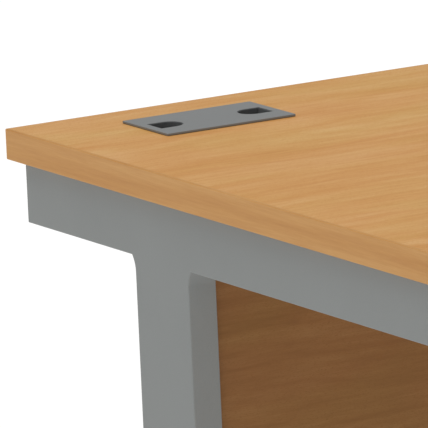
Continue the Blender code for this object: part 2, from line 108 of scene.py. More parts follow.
# Cable ports
COVER_CORNER = 0.0006
COVER_THICKNESS = 0.0018
COVER_EASE = 0.0003
SKIRT_WALL = 0.0012
SKIRT_PLAY = 0.0005
LINER_WALL = 0.0015
LINER_FLANGE = 0.004
LINER_FLANGE_THICKNESS = 0.0015
LINER_EASE = 0.0003
SLOT_MARGIN = 0.0073  # from the cover's end to the slot's flat end
SLOT_LENGTH = 0.025
SLOT_WIDTH = 0.0235
SLOT_OFFSET = 0.002  # the slots' middle line from the cover's, towards the user
SLOT_LINING = 0.0008

# Brackets
BRACKET_THICKNESS = 0.003
BRACKET_CORNER = 0.006
BRACKET_BEND = 0.004
BRACKET_EASE = 0.00035
PANEL_SCREW_RISE = 0.011  # each panel screw above or below the bracket's middle
PANEL_SCREW_REACH = 0.023  # from the bracket's corner
PANEL_SCREW_LENGTH = 0.014

# Fasteners
CLEARANCE = 0.0003
BOLT_RADIUS = 0.003
BOLT_CHAMFER = 0.2  # share of the radius
BOLT_HEAD = 0.0033  # height
BOLT_SHOULDER = 0.12  # share of the head's height that is its straight side
BOLT_CROWN = 1.35  # radius of the head's flat top, as a multiple of the socket's half width
SOCKET_HALF = 0.002  # half across the flats of a bolt's hexagon socket
SOCKET_DEPTH = 0.0021
SOCKET_FLARE = 0.04  # share by which the socket widens at its rim
SOCKET_POINT = 1.3  # depth of the socket's middle, as a multiple of its depth
SCREW_RADIUS = 0.002
SCREW_HEAD = 0.0024  # height
SCREW_HEAD_RADIUS = 0.004
SCREW_SHOULDER = 0.35  # share of the head's height that is its straight side
SCREW_CROWN = 1.1  # radius of the head's flat top, as a multiple of the recess's reach
RECESS_REACH = 0.0023
RECESS_DEPTH = 0.0014
RECESS_HALF = 0.00075  # half the width of an arm
RECESS_FLOOR = 0.62  # reach at the floor, as a share of the reach at the top
RECESS_POINT = 1.2  # depth of the middle, as a multiple of the recess's depth

# Levelling feet
STUD_RADIUS = 0.004
THREAD_PITCH = 0.00125
THREAD_DEPTH = 0.00068
THREAD_RINGS = 6  # rings of points in one pitch
THREAD_SLOPE = 1.35  # steepness of the flanks
THREAD_CREST = 0.15  # what the flat crest takes of them
HEX_HALF = 0.0065  # half across the flats
HEX_HEIGHT = 0.0045
HEX_CLIP = 0.00715  # radius that its corners are turned off to
HEX_EASE = 0.0006
SPIGOT_DEPTH = 0.003
INSERT_RADIUS = 0.0065
INSERT_EASE = 0.0003
PAD_GROOVE = 0.0005
PAD_RINGS = (0.2, 0.4, 0.6, 0.8)  # where each ring under the pad starts, as a share of its radius
PAD_RING = 0.1  # width of a ring
PAD_SIDE = 0.38  # the rim's straight and rounded parts end here, as shares of the height
PAD_ROUND = 0.46
PAD_CONE = (0.86, 0.5)  # foot of the cone, as shares of the radius and the height
PAD_COLLAR = 0.003  # wall of the collar round the stud
PAD_SLOPE = ((0.0022, 0.66), (0.0006, 0.76), (0, 0.84))  # out from the collar, share of the height

# Finishes: screen colours, from the darkest tone to the palest
BOARD_TONES = ((196, 137, 65), (206, 154, 88), (215, 171, 112))
# the panel's tones are the board's beech made darker: painted shade for its place under the worktop
SHADED_PANEL_TONES = ((130, 89, 46), (140, 100, 56), (150, 111, 67))
TINTS = ((255, 249, 251), (255, 251, 248), (252, 253, 243))  # patches of warmth
EDGING_TONES = ((181, 124, 58), (192, 139, 75), (203, 154, 93))
COAT_TONES = ((123, 126, 125), (132, 135, 134), (141, 144, 143))
COAT_WORN = (160, 163, 162)
COVER_TONES = ((116, 118, 118), (125, 127, 127), (134, 136, 136))
COVER_WORN = (160, 161, 161)
CAP_TONES = ((120, 123, 122), (140, 143, 142))
DARK_TONES = ((38, 40, 42), (56, 58, 60))
LINER_TONES = ((68, 70, 71), (88, 90, 91))
ZINC_TONES = ((158, 160, 158), (180, 184, 188), (205, 207, 208))
RAMP_PLACES = (0.1, 0.5, 0.9)  # where on most ramps the tones sit
NOISE_MEAN = 0.5
FIGURE_RINGS = 78.0  # radians of the rings' wave, from 0 to 1 in the figure's noise
FIGURE_WEIGHT = 0.17
FIGURE_PATCHES = (0.44, 0.66)  # the values of a noise between which the figure fades in
FLECK_SIZE = 0.27  # radius, in cells
FLECK_MEAN = 0.08  # share of the board in flecks
FLAT = 0.995  # cosines of how far rounding turns a face where it is flat, and where it is worn
WORN = 0.86


# Outlines: lists of (u, v) points


def rounded(corners):
    """The outline through (u, v, radius) corners.

    A corner whose radius is None is one point. Any other is an arc, even at radius 0, so that the same
    outline drawn in or out has the same number of points.
    """
    points = []
    for i, (u, v, radius) in enumerate(corners):
        here = Vector((u, v))
        if radius is None:
            points.append(here)
            continue
        back = (Vector(corners[i - 1][:2]) - here).normalized()
        ahead = (Vector(corners[(i + 1) % len(corners)][:2]) - here).normalized()
        half = back.angle(ahead) / 2
        centre = here + (back + ahead).normalized() * (radius / math.sin(half))
        start = here + back * (radius / math.tan(half)) - centre
        end = here + ahead * (radius / math.tan(half)) - centre
        turn = start.angle_signed(end) if radius else 0
        for step in range(ARC_STEPS + 1):
            points.append(centre + Matrix.Rotation(-turn * step / ARC_STEPS, 2) @ start)
    return points


def rectangle(half_u, half_v, radius, inset=0.0):
    """A rounded rectangle round (0, 0), drawn in by inset."""
    u, v = half_u - inset, half_v - inset
    arc = max(radius - inset, 0)
    return rounded([(u, v, arc), (-u, v, arc), (-u, -v, arc), (u, -v, arc)])


def rim(size, steps=RIM_STEPS):
    """A rounded rim as (inset, distance from the face) points, from the face round to the side."""
    turns = [math.pi / 2 * step / steps for step in range(steps + 1)]
    return [(size * (1 - math.sin(turn)), size * (1 - math.cos(turn))) for turn in turns]


def angles(sides):
    return [2 * math.pi * i / sides for i in range(sides)]


# Solids: bmeshes made of rings of points


def skin(rings, loop=False):
    """Rings of points joined by quads. A loop closes on itself. Any other gets a face at each end."""
    bm = bmesh.new()
    drawn = [[bm.verts.new(point) for point in ring] for ring in rings]
    count = len(drawn[0])
    following = drawn[1:] + drawn[:1] if loop else drawn[1:]
    for ring, after in zip(drawn, following):
        for i in range(count):
            j = (i + 1) % count
            bm.faces.new((ring[i], ring[j], after[j], after[i]))
    if not loop:
        bm.faces.new(drawn[0][::-1])
        bm.faces.new(drawn[-1])
    return bm


def stack(layers, place):
    """A solid from (outline, height) layers, put in place."""
    return skin([[place @ Vector((u, v, height)) for u, v in outline] for outline, height in layers])


def slab(outline_at, low, high, ease, place, steps=RIM_STEPS):
    """A solid between two heights with rounded rims. outline_at(inset) gives its outline drawn in."""
    curve = rim(ease, steps)
    layers = [(outline_at(inset), low + rise) for inset, rise in curve]
    layers += [(outline_at(inset), high - rise) for inset, rise in reversed(curve)]
    return stack(layers, place)


def carried(outline_at, profile, place):
    """A closed profile of (inset, height) points carried round an outline."""
    outlines = [outline_at(inset) for inset, _ in profile]
    rings = []
    for i in range(len(outlines[0])):
        ring = zip(outlines, profile)
        rings.append([place @ Vector((*outline[i], height)) for outline, (_, height) in ring])
    return skin(rings, loop=True)


def framed(half_u, half_v, radius, profile, place):
    """A closed profile carried round a rounded rectangle."""
    return carried(lambda inset: rectangle(half_u, half_v, radius, inset), profile, place)


def circle(size, _angle):
    return size


def hexagon(size, angle):
    """The radius at an angle of a hexagon that is twice size across its flats."""
    sixth = math.pi / 3
    return size / math.cos((angle + sixth / 2) % sixth - sixth / 2)


def clipped_hexagon(size, angle):
    """A hexagon with its corners turned off to the radius size."""
    return min(hexagon(HEX_HALF, angle), size)


def cross(size, angle):
    """A cross recess that reaches size from its middle."""
    quarter = math.pi / 2
    off = abs((angle + quarter / 2) % quarter - quarter / 2)
    return min(size, RECESS_HALF / max(math.sin(off), RECESS_HALF / size))


def dome(radius, top, shoulder, crown, steps=RIM_STEPS):
    """The steps of a round head's curve, from its shoulder's height in to its flat crown."""
    curve = []
    for step in range(steps + 1):
        turn = math.pi / 2 * step / steps
        size = crown + (radius - crown) * math.cos(turn)
        curve.append((circle, size, shoulder + (top - shoulder) * math.sin(turn)))
    return curve


def turned(steps, place, sides=ROUND_SIDES, loop=False):
    """A solid turned about its own Z from (shape, size, height) steps."""
    rings = []
    for shape, size, height in steps:
        ring = []
        for angle in angles(sides):
            radius = shape(size, angle)
            point = Vector((radius * math.cos(angle), radius * math.sin(angle), height))
            ring.append(place @ point)
        rings.append(ring)
    return skin(rings, loop)


def bead(path):
    """A rippled weld bead along a path that is square to X, with tapered ends."""
    across = Vector((1, 0, 0))
    lengths = [(b - a).length for a, b in zip(path, path[1:])]
    total = sum(lengths)
    count = max(int(total / BEAD_PITCH * BEAD_STEPS), BEAD_LEAST)
    rings = []
    for step in range(count + 1):
        along = total * step / count
        left, i = along, 0
        while i < len(lengths) - 1 and left > lengths[i]:
            left -= lengths[i]
            i += 1
        point = path[i].lerp(path[i + 1], min(left / lengths[i], 1))
        up = (path[i + 1] - path[i]).normalized().cross(across)
        ripple = 1 - BEAD_RIPPLE + BEAD_RIPPLE * abs(math.sin(math.pi * along / BEAD_PITCH))
        from_end = min(along, total - along) / BEAD
        size = BEAD * ripple * min(1, math.sqrt((from_end + BEAD_START) / BEAD_TAPER))
        ring = [size * (across * math.cos(a) + up * math.sin(a)) for a in angles(BEAD_SIDES)]
        rings.append([point + offset for offset in ring])
    return skin(rings)


def clean(bm):
    bmesh.ops.remove_doubles(bm, verts=bm.verts, dist=WELD)
    bmesh.ops.dissolve_degenerate(bm, edges=bm.edges, dist=WELD)
    bmesh.ops.recalc_face_normals(bm, faces=bm.faces)
    return bm


def placed(name, data):
    """A new object in the scene."""
    made = bpy.data.objects.new(name, data)
    bpy.context.scene.collection.objects.link(made)
    return made


def combined(bm, tools, operation):
    """A bmesh's solid after Booleans with other bmeshes' solids. All of them are used up."""
    objects = []
    for solid in (bm, *tools):
        mesh = bpy.data.meshes.new("solid")
        clean(solid).to_mesh(mesh)
        solid.free()
        objects.append(placed("solid", mesh))
    target = objects[0]
    for tool in objects[1:]:
        step = target.modifiers.new("step", "BOOLEAN")
        step.operation = operation
        step.object = tool
    evaluated = target.evaluated_get(bpy.context.evaluated_depsgraph_get())
    made = bmesh.new()
    made.from_mesh(evaluated.to_mesh())
    evaluated.to_mesh_clear()
    for used in objects:
        mesh = used.data
        bpy.data.objects.remove(used)
        bpy.data.meshes.remove(mesh)
    return clean(made)


def cut(bm, *tools):
    return combined(bm, tools, "DIFFERENCE")


def join(bm, *tools):
    return combined(bm, tools, "UNION")


def rod(radius, low, high, place):
    """A plain round bar, used to drill holes."""
    return turned([(circle, radius, low), (circle, radius, high)], place)


def eased(bm, width):
    """Rounds the sharp edges of a solid."""
    edges = [edge for edge in bm.edges if edge.is_manifold and edge.calc_face_angle() > EASED]
    bmesh.ops.bevel(
        bm, geom=edges, offset=width, segments=2, profile=0.5, affect="EDGES", clamp_overlap=True
    )
    return bm


def at(x, y, z):
    return Matrix.Translation((x, y, z))


def facing(direction, origin):
    """A place whose own +Z points along a direction."""
    return Matrix.Translation(origin) @ Vector(direction).to_track_quat("Z", "Y").to_matrix().to_4x4()


def upright(x):
    """A place whose own (u, v, w) are the desk's Y, Z and X, from a given X."""
    return Matrix(((0, 0, 1, x), (1, 0, 0, 0), (0, 1, 0, 0), (0, 0, 0, 1)))


def extent(node):
    """The low corner, the high corner and the middle of a node's box."""
    low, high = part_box(node)
    return low, high, (low + high) / 2


def middle(node):
    return extent(node)[2]


def add_piece(name, bm, finish, body="root", stands_for=()):
    """A bmesh as a piece of the desk: smooth but for its creases, with its finish, on its body."""
    surface, slot = finish
    mesh = bpy.data.meshes.new(name)
    clean(bm).to_mesh(mesh)
    bm.free()
    mesh.shade_smooth()
    mesh.set_sharp_from_angle(angle=CREASE)
    mesh.materials.append(surface)
    piece = placed(name, mesh)
    shading = piece.modifiers.new("Shading", "WEIGHTED_NORMAL")
    shading.keep_sharp = True
    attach(piece, body)
    if stands_for:
        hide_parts(*stands_for)


# Materials


def linear(colour):
    """A screen colour, 0 to 255, as the linear light values that a shader takes."""
    return tuple(((c / 255 + 0.055) / 1.055) ** 2.4 for c in colour) + (1.0,)


class Surface:
    """One material's nodes. Every size in it is in metres of the desk, in the piece's own space.

    A noise's scale says how many of its grains lie in a metre, in each direction or in all alike.
    """

    def __init__(self, name, turn=0.0, offset=(0, 0, 0)):
        self.material = bpy.data.materials.new(name)
        self.material.use_nodes = True
        self.tree = self.material.node_tree
        self.shader = self.tree.nodes["Principled BSDF"]
        self.offset = offset
        place = self.node("ShaderNodeTexCoord").outputs["Object"]
        self.place = self.mapped(place, (1, 1, 1), (0, 0, 0), turn) if turn else place

    def join(self, value, socket):
        if isinstance(value, bpy.types.NodeSocket):
            self.tree.links.new(value, socket)
        else:
            socket.default_value = value

    def fill(self, node, **given):
        """Gives a node's inputs by their names, with _ for each space."""
        for name, value in given.items():
            self.join(value, node.inputs[name.replace("_", " ")])
        return node

    def node(self, kind, **given):
        return self.fill(self.tree.nodes.new(kind), **given)

    def mapped(self, vector, scale, offset, turn=0.0):
        node = self.node("ShaderNodeMapping", Vector=vector, Scale=scale, Location=offset)
        return self.fill(node, Rotation=(0, 0, turn)).outputs["Vector"]

    def noise(self, scale, detail=2.0, roughness=0.5, warp=0.0):
        """Noise from 0 to 1."""
        scales = scale if isinstance(scale, tuple) else (scale, scale, scale)
        place = self.mapped(self.place, scales, self.offset)
        node = self.node("ShaderNodeTexNoise", Vector=place, Scale=1.0, Detail=detail)
        return self.fill(node, Roughness=roughness, Distortion=warp).outputs["Fac"]

    def cells(self, scale):
        """The distance from the middle of the nearest of many scattered cells."""
        place = self.mapped(self.place, scale, self.offset)
        return self.node("ShaderNodeTexVoronoi", Vector=place, Scale=1.0).outputs["Distance"]

    def maths(self, operation, first, second=0.0, third=0.0):
        node = self.node("ShaderNodeMath")
        node.operation = operation
        for socket, value in zip(node.inputs, (first, second, third)):
            self.join(value, socket)
        return node.outputs["Value"]

    def remapped(self, value, to_low, to_high, from_low=0.0, from_high=1.0):
        node = self.node("ShaderNodeMapRange", Value=value, To_Min=to_low, To_Max=to_high)
        return self.fill(node, From_Min=from_low, From_Max=from_high).outputs["Result"]

    def ramp(self, value, colours, places=RAMP_PLACES):
        """A colour that goes through screen colours at places from 0 to 1."""
        node = self.node("ShaderNodeValToRGB", Fac=value)
        line = node.color_ramp.elements
        while len(line) < len(colours):
            line.new(1.0)
        for element, place, colour in zip(line, places, colours):
            element.position = place
            element.color = linear(colour)
        return node.outputs["Color"]

    def wander(self, scale, reach):
        """Lets the place stray sideways by up to about a third of reach, so that the grain undulates."""
        stray = self.maths("SUBTRACT", self.noise(scale, 1.0), NOISE_MEAN)
        stray = self.maths("MULTIPLY", stray, reach)
        across = self.node("ShaderNodeCombineXYZ", Y=stray, Z=stray)
        added = self.node("ShaderNodeVectorMath")
        self.join(self.place, added.inputs[0])
        self.join(across.outputs["Vector"], added.inputs[1])
        self.place = added.outputs["Vector"]

    def blended(self, share, first, second, kind="MIX"):
        node = self.node("ShaderNodeMix", Factor=share)
        node.data_type = "RGBA"
        node.blend_type = kind
        self.join(first, node.inputs[6])  # the colour sockets, which share their names with others
        self.join(second, node.inputs[7])
        return node.outputs[2]

    def total(self, *parts):
        """The sum, round 0.5, of each value less its mean, times its weight. A noise needs no mean."""
        result = 0.5
        for value, weight, *mean in parts:
            off = self.maths("SUBTRACT", value, *(mean or [NOISE_MEAN]))
            result = self.maths("MULTIPLY_ADD", off, weight, result)
        return result

    def edge_wear(self, radius):
        """0 on flat faces, rising to 1 on edges, by how far rounding them would turn the surface."""
        bevel = self.node("ShaderNodeBevel", Radius=radius)
        bevel.samples = 4
        face = self.node("ShaderNodeNewGeometry")
        dot = self.node("ShaderNodeVectorMath")
        dot.operation = "DOT_PRODUCT"
        self.join(bevel.outputs["Normal"], dot.inputs[0])
        self.join(face.outputs["Normal"], dot.inputs[1])
        return self.remapped(dot.outputs["Value"], 0.0, 1.0, FLAT, WORN)

    def bump(self, height, distance):
        node = self.node("ShaderNodeBump", Distance=distance, Height=height)
        self.join(node.outputs["Normal"], self.shader.inputs["Normal"])

    def finish(self, slot, specular=0.5, metallic=0.0, **given):
        """Gives the shader's inputs, and returns the material with its slot."""
        self.fill(self.shader, Specular_IOR_Level=specular, Metallic=metallic, **given)
        return self.material, slot


def beech(name, tones, offset, reach):
    """Beech-effect melamine with its grain along X: bands, arched figure, streaks, fibres and flecks."""
    s = Surface(name, offset=offset)
    s.wander((6.0, 11.0, 11.0), reach)
    figure = s.noise((2.2, 8.5, 8.5), 1.0, 0.45, 0.2)
    rings = s.maths("SINE", s.maths("MULTIPLY", figure, FIGURE_RINGS))
    where = s.noise((2.6, 5.2, 5.2), 1.0)
    strength = s.remapped(where, 0.0, FIGURE_WEIGHT, *FIGURE_PATCHES)
    sweeps = s.noise((0.8, 9.0, 9.0), 1.0, 0.5, 0.1)
    bands = s.noise((2.6, 26.0, 26.0), 2.0, 0.5, 0.1)
    broad = s.noise((8.0, 84.0, 84.0), 2.0, 0.55, 0.25)
    streaks = s.noise((15.0, 200.0, 200.0), 3.0, 0.66, 0.2)
    fibres = s.noise((60.0, 1300.0, 1300.0), 3.0, 0.65)
    flecks = s.maths("LESS_THAN", s.cells((260.0, 1900.0, 1900.0)), FLECK_SIZE)
    tone = s.total(
        (sweeps, 0.40),
        (bands, 0.52),
        (broad, 0.62),
        (streaks, 0.88),
        (fibres, 0.60),
        (s.maths("MULTIPLY", rings, strength), 1.0, 0.0),
        (flecks, -0.50, FLECK_MEAN),
    )
    colour = s.ramp(tone, tones, (0.12, 0.5, 0.88))
    warmth = s.ramp(s.noise((5.0, 14.0, 14.0), 2.0, 0.5, 0.5), TINTS, (0.32, 0.5, 0.68))
    colour = s.blended(1.0, colour, warmth, "MULTIPLY")
    sheen = s.total((streaks, 0.25), (fibres, 0.22), (flecks, 0.10, 0.0))
    s.bump(s.total((streaks, 0.3), (fibres, 0.5), (flecks, -0.4, 0.0)), 0.00006)
    roughness = s.remapped(sheen, 0.36, 0.62)
    return s.finish("beech_board", specular=0.22, Base_Color=colour, Roughness=roughness)


def edging(name, turn, offset):
    """Beech-effect band with its print along its length, slightly glossier than the board."""
    s = Surface(name, turn, offset)
    bands = s.noise((4.0, 105.0, 105.0), 2.0, 0.5, 0.1)
    streaks = s.noise((12.0, 360.0, 360.0), 3.0, 0.6, 0.1)
    fibres = s.noise((60.0, 1500.0, 1500.0), 3.0, 0.6)
    colour = s.ramp(s.total((bands, 0.85), (streaks, 0.85), (fibres, 0.5)), EDGING_TONES)
    s.bump(s.total((streaks, 0.4), (fibres, 0.6)), 0.00004)
    roughness = s.remapped(streaks, 0.34, 0.50, 0.2, 0.8)
    return s.finish("beech_edging", specular=0.25, Base_Color=colour, Roughness=roughness)


def powder_coat():
    """Fine matt powder coat on steel: orange peel, faint speckle, handling marks and paler edges."""
    s = Surface("powder_coat")
    peel = s.noise(900.0)
    grit = s.noise(4200.0, 2.0, 0.6)
    marks = s.noise(9.0, 4.0, 0.6, 0.6)
    wear = s.edge_wear(0.0016)
    coat = s.ramp(s.total((marks, 0.5), (grit, 0.45), (peel, 0.25)), COAT_TONES)
    colour = s.blended(s.maths("MULTIPLY", wear, 0.25), coat, linear(COAT_WORN))
    s.bump(s.total((peel, 0.7), (grit, 0.3)), 0.00010)
    roughness = s.remapped(s.total((marks, 0.6), (wear, -0.4, 0.0)), 0.40, 0.62)
    return s.finish("grey_steel", specular=0.35, Base_Color=colour, Roughness=roughness)


def painted_cover():
    """The cable port's cover: the legs' coat, a little darker, with rubbed edges and light scuffs."""
    s = Surface("painted_cover")
    peel = s.noise(1100.0)
    grit = s.noise(4200.0, 2.0, 0.6)
    scuffs = s.noise((60.0, 900.0, 400.0), 2.0, 0.7, 0.4)
    marks = s.noise(24.0, 3.0, 0.6, 0.5)
    wear = s.edge_wear(0.0006)
    coat = s.ramp(s.total((marks, 0.3), (grit, 0.4), (scuffs, 0.15)), COVER_TONES)
    colour = s.blended(s.maths("MULTIPLY", wear, 0.2), coat, linear(COVER_WORN))
    s.bump(s.total((peel, 0.6), (grit, 0.3), (scuffs, 0.2)), 0.00004)
    roughness = s.remapped(s.total((marks, 0.5), (scuffs, 0.5)), 0.38, 0.62)
    return s.finish("grey_steel", specular=0.3, Base_Color=colour, Roughness=roughness)


def moulded(name, slot, tones):
    """Spark-textured moulded plastic with faint flow marks."""
    s = Surface(name)
    grain = s.noise(2600.0, 3.0, 0.6)
    flow = s.noise(35.0, 3.0, 0.5, 1.2)
    tone = s.total((grain, 0.5), (flow, 0.5), (s.edge_wear(0.0008), 0.25, 0.0))
    colour = s.ramp(tone, tones, (0.1, 0.9))
    s.bump(grain, 0.00006)
    roughness = s.remapped(s.total((grain, 0.4), (flow, 0.4)), 0.42, 0.70)
    return s.finish(slot, specular=0.35, Base_Color=colour, Roughness=roughness)


def zinc_plate():
    """Bright zinc plate: fine tumbling marks, slight tarnish and a cool tint."""
    s = Surface("zinc_plate")
    marks = s.noise((700.0, 2600.0, 700.0), 3.0, 0.6, 0.5)
    tarnish = s.noise(110.0, 3.0, 0.6, 0.8)
    tone = s.total((tarnish, 0.7), (marks, 0.3), (s.edge_wear(0.0004), 0.2, 0.0))
    colour = s.ramp(tone, ZINC_TONES, (0.1, 0.55, 0.95))
    s.bump(marks, 0.00003)
    roughness = s.remapped(s.total((tarnish, 0.8), (marks, 0.5)), 0.24, 0.48)
    return s.finish("zinc_steel", metallic=1.0, Base_Color=colour, Roughness=roughness)


BOARD = beech("beech_board", BOARD_TONES, (0.35, 1.4, 0.2), 0.022)
# the panel: the board's beech in darker tones, which paint the shade under the worktop
PANEL = beech("beech_panel_painted_shade", SHADED_PANEL_TONES, (3.1, 0.6, 1.7), 0.008)
EDGING_X = edging("beech_edging_long", 0.0, (0.0, 0.0, 2.0))
EDGING_Y = edging("beech_edging_end", math.pi / 2, (5.0, 1.0, 0.4))
COAT = powder_coat()
COVER = painted_cover()
CAP = moulded("grey_plastic", "grey_plastic", CAP_TONES)
DARK = moulded("dark_plastic", "dark_plastic", DARK_TONES)
# the liner's plastic, also on the cover's skirt and slot sleeves, where its darkness paints the shade
# inside the port and slots
LINER = moulded("liner_plastic", "dark_plastic", LINER_TONES)
ZINC = zinc_plate()


# Worktop


def band_profile(low, high, thickness):
    """The band's section as (inset from its outer face, height): rounded outside, glue lines inside."""
    curve = rim(BAND_ROUND)
    points = [(inset, low + rise) for inset, rise in curve]
    points += [(inset, high - rise) for inset, rise in reversed(curve)]
    points += [(thickness - GLUE_LINE, high), (thickness, high - GLUE_LINE)]
    points += [(thickness, low + GLUE_LINE), (thickness - GLUE_LINE, low)]
    return points


def make_bands(half_x, half_y, low, high, thickness):
    """The end bands are straight. The front and rear ones run the whole length and turn the corners."""
    profile = band_profile(low, high, thickness)
    joint = half_y - thickness
    for side, sign in SIDES.items():
        rings = []
        for y in (-joint + SEAM / 2, joint - SEAM / 2):
            rings.append([Vector((sign * (half_x - inset), y, z)) for inset, z in profile])
        add_piece(f"band_{side}", skin(rings), EDGING_Y, stands_for=[f"edge_band_{side}"])
    outlines = [rectangle(half_x, half_y, BAND_CORNER, inset) for inset, _ in profile]
    for end, sign in ENDS.items():
        rings = [[Vector((half_x - inset, sign * joint, z)) for inset, z in profile]]
        for i in range(2 * (ARC_STEPS + 1)):  # the outline's first two corners are on its +Y side
            ring = zip(outlines, profile)
            rings.append([Vector((line[i].x, sign * line[i].y, z)) for line, (_, z) in ring])
        rings.append([Vector((inset - half_x, sign * joint, z)) for inset, z in profile])
        add_piece(f"band_{end}", skin(rings), EDGING_X, stands_for=[f"edge_band_{end}"])


def make_worktop():
    low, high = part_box("edge_band_front")
    band_low, band_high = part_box("edge_band_left")
    thickness = band_high.x - band_low.x
    half_x, half_y = high.x, -low.y
    make_bands(half_x, half_y, low.z, high.z, thickness)

    def outline(inset):
        return rectangle(half_x - thickness, half_y - thickness, 0, inset)

    board = slab(outline, low.z, high.z, GLUE_LINE, at(0, 0, 0), steps=1)
    openings = []
    for side in SIDES:
        cover_low, cover_high, centre = extent(f"port_cover_{side}")
        half = (cover_high - cover_low) / 2
        way = rectangle(half.x - PORT_LAP, half.y - PORT_LAP, PORT_CORNER)
        layers = [(way, low.z - THROUGH), (way, high.z + THROUGH)]
        openings.append(stack(layers, at(*centre.xy, 0)))
    add_piece("worktop_board", cut(board, *openings), BOARD, stands_for=["worktop"])


# Modesty panel


def make_panel():
    low, high, centre = extent("modesty_panel")
    bottom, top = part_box("modesty_band_bottom"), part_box("modesty_band_top")
    half_x, half_y = (high.x - low.x) / 2, (high.y - low.y) / 2
    place = at(*centre.xy, 0)

    def outline(inset):
        return rectangle(half_x, half_y, PANEL_EASE, inset)

    core = slab(outline, bottom[1].z, top[0].z, GLUE_LINE, place, steps=1)
    add_piece("panel_board", core, PANEL, stands_for=["modesty_panel"])
    for end, back, face in (("bottom", bottom[1].z, bottom[0].z), ("top", top[0].z, top[1].z)):
        way = math.copysign(1, face - back)
        layers = [(outline(0), back)]
        layers += [(outline(inset), face - way * rise) for inset, rise in reversed(rim(PANEL_EASE))]
        band = stack(layers, place)
        add_piece(f"panel_band_{end}", band, EDGING_X, stands_for=[f"modesty_band_{end}"])


# Leg frames


def fillet(face, outward, level, way, inset):
    """The curve from a face of the column up (way 1) to the arm or down (way -1) to the foot."""
    radius = FILLET_RADIUS + inset
    centre_y, centre_z = face + outward * FILLET_RADIUS, level - way * FILLET_DROP
    end = math.asin((FILLET_DROP + inset) / radius)
    points = []
    for step in range(FILLET_STEPS + 1):
        turn = end * step / FILLET_STEPS
        y = centre_y - outward * radius * math.cos(turn)
        points.append((y, centre_z + way * radius * math.sin(turn), None))
    return points


def leg_outline(side, inset, overrun):
    """The leg's side view in (Y, Z): drawn in by inset all round, its tube ends moved out by overrun."""
    arm_low, arm_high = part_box(f"arm_cap_{side}_rear")
    foot_low, foot_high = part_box(f"foot_cap_{side}_front")
    cap = CAP_PLATE + SEAM
    rear = arm_high.y - cap + overrun
    arm_front = -rear
    foot_front = foot_low.y + cap - overrun
    column_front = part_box("modesty_panel")[0].y - PANEL_SETBACK
    column_rear = column_front + COLUMN_WIDTH
    top, under = arm_high.z - inset, arm_low.z + inset
    above, bottom = foot_high.z - inset, foot_low.z + inset
    front_curves = fillet(column_front, -1, arm_low.z, 1, inset)[::-1]
    front_curves += fillet(column_front, -1, foot_high.z, -1, inset)
    rear_curves = fillet(column_rear, 1, foot_high.z, -1, inset)[::-1]
    rear_curves += fillet(column_rear, 1, arm_low.z, 1, inset)
    arm = [(rear, top, None), (arm_front, top, None), (arm_front, under, None)]
    foot = [(foot_front, above, None), (foot_front, bottom, None)]
    foot += [(rear, bottom, None), (rear, above, None)]
    return rounded([*arm, *front_curves, *foot, *rear_curves, (rear, under, None)])


def make_leg(side, sign):
    low, high, centre = extent(f"arm_cap_{side}_rear")
    half = (high.x - low.x) / 2
    inner_x = centre.x - sign * half
    place = upright(centre.x)

    def outer(inset):
        return leg_outline(side, inset, 0)

    def inner(inset):
        return leg_outline(side, TUBE_WALL + inset, 2 * CAP_PLATE)

    leg = slab(outer, -half, half, TUBE_ROUND, place)
    drills = [slab(inner, TUBE_WALL - half, half - TUBE_WALL, HOLLOW_ROUND, place)]
    for end in ENDS:
        x, y = middle(f"foot_insert_{end}_{side}").xy
        hole = at(x, y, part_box(f"foot_cap_{side}_front")[0].z)
        drills.append(rod(INSERT_RADIUS + CLEARANCE, -TUBE_WALL, 2 * TUBE_WALL, hole))
        drills += [wall_hole(inner_x, sign, f"rail_bolt_{end}_{number}_{side}") for number in PAIR]
    drills += [wall_hole(inner_x, sign, f"bracket_bolt_{level}_{side}") for level in LEVELS]
    add_piece(f"leg_{side}", cut(leg, *drills), COAT, stands_for=[f"leg_frame_{side}"])
    make_tabs(side, sign, inner_x)
    make_caps(side, centre.x, half)


def wall_hole(inner_x, sign, bolt):
    """The hole of a bolt through the leg's inner wall."""
    centre = middle(bolt)
    place = facing((sign, 0, 0), (inner_x, centre.y, centre.z))
    return rod(BOLT_RADIUS + CLEARANCE, -TUBE_WALL, 2 * TUBE_WALL, place)


def make_tabs(side, sign, inner_x):
    """The tabs that hold the worktop, welded to the arm below."""
    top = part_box(f"leg_frame_{side}")[1].z - CLEARANCE
    low = top - TAB_THICKNESS
    for end in TABS:
        screw = middle(f"top_screw_{side}_{end}")
        half = abs(screw.x - inner_x)

        def outline(inset, half=half):
            near, far, wide = sign * half, sign * (inset - half), TAB_LENGTH / 2 - inset
            soft = TAB_CORNER - inset
            return rounded([(near, wide, 0), (far, wide, soft), (far, -wide, soft), (near, -wide, 0)])

        tab = slab(outline, low, top, PLATE_EASE, at(inner_x - sign * half, screw.y, 0))
        hole = rod(SCREW_RADIUS + CLEARANCE, low - TAB_THICKNESS, top + TAB_THICKNESS, at(*screw.xy, 0))
        add_piece(f"tab_{side}_{end}", cut(tab, hole), COAT)
        path = [Vector((inner_x, screw.y + reach, low)) for reach in (-TAB_LENGTH / 2, TAB_LENGTH / 2)]
        add_piece(f"tab_bead_{side}_{end}", bead(path), COAT)


